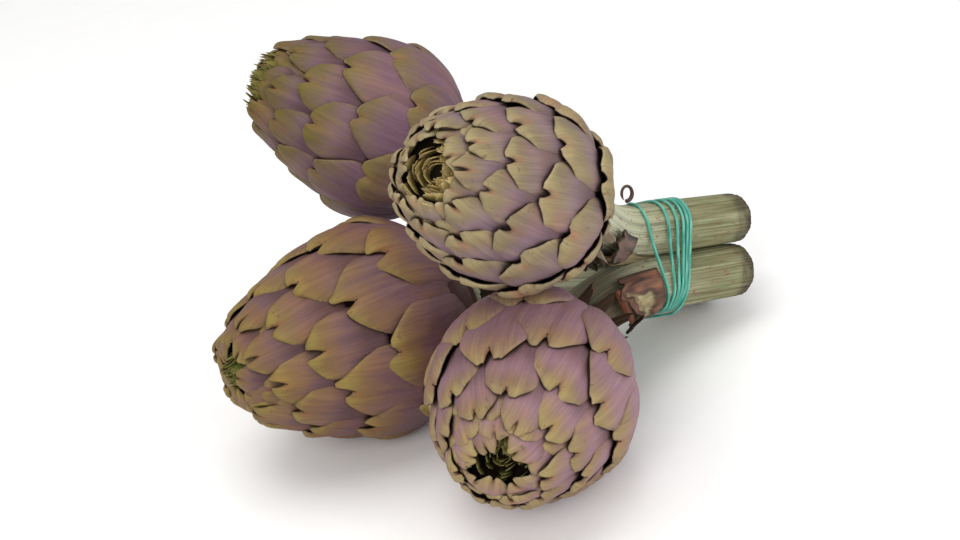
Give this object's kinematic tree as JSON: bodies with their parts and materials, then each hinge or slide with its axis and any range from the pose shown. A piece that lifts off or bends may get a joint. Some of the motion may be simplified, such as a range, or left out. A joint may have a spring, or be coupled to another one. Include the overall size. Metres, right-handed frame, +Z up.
{
  "type": "tied bunch of artichokes",
  "caption": "Bunch of violet artichokes lying down, heads of overlapping notched bracts on ribbed stems tied by a green elastic band.",
  "frame": {"origin": "middle of the bounding box's base, on the surface that the bunch lies on", "axes": "+X along the tied stems towards their cut ends, seen from above; +Z up"},
  "size_m": [0.2424, 0.2318, 0.172],
  "materials": {
    "bract": "dull, leathery, mauve with olive tips",
    "stem": "matte, finely ribbed, pale green",
    "band": "satin, teal green",
    "withered": "dull, dry, brown"
  },
  "bodies": {
    "root": {"head_a": "bract", "head_b": "bract", "head_c": "bract", "head_d": "bract", "stem_a": "stem", "stem_b": "stem", "stem_c": "stem", "stem_d": "stem", "elastic_band": "band", "stalk_stub_b": "withered", "stalk_stub_d": "withered", "dry_curl": "withered"}
  },
  "joints": []
}
